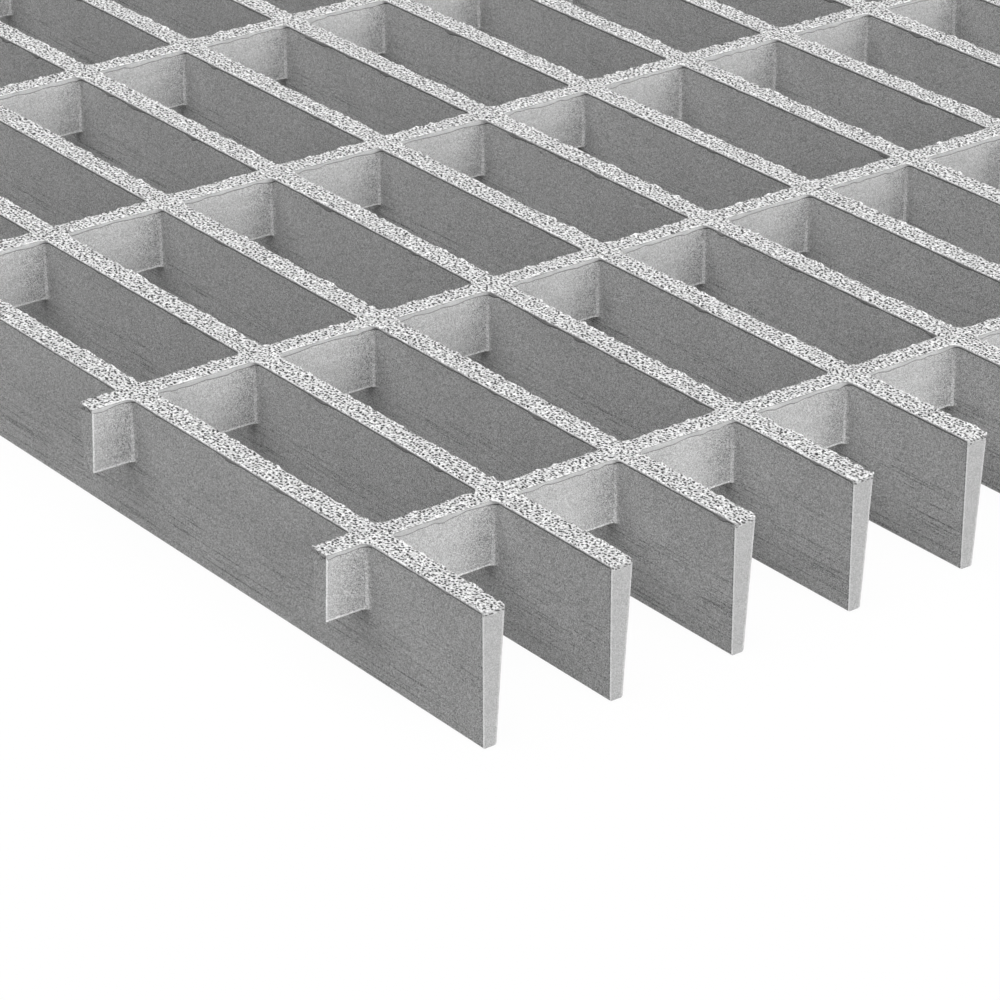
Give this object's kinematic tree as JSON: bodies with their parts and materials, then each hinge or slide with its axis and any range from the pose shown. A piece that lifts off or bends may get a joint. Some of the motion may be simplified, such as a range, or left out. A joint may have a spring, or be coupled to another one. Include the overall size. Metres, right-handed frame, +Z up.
{
  "type": "fibreglass grating panel",
  "caption": "Flat moulded fibreglass grating panel: deep load bars tied by shallower cross bars into an open rectangular mesh, with a gritted walking surface.",
  "frame": {"origin": "on the floor under the middle of the panel, at the level of the undersides of the load bars", "axes": "+Z up out of the walking surface, X along the load bars, Y along the cross bars"},
  "size_m": [0.604, 0.6014, 0.037],
  "materials": {
    "moulded_resin": "matt light grey glass-fibre reinforced resin, gritted on top"
  },
  "bodies": {
    "root": {"moulded_grating": "moulded_resin"}
  },
  "joints": []
}
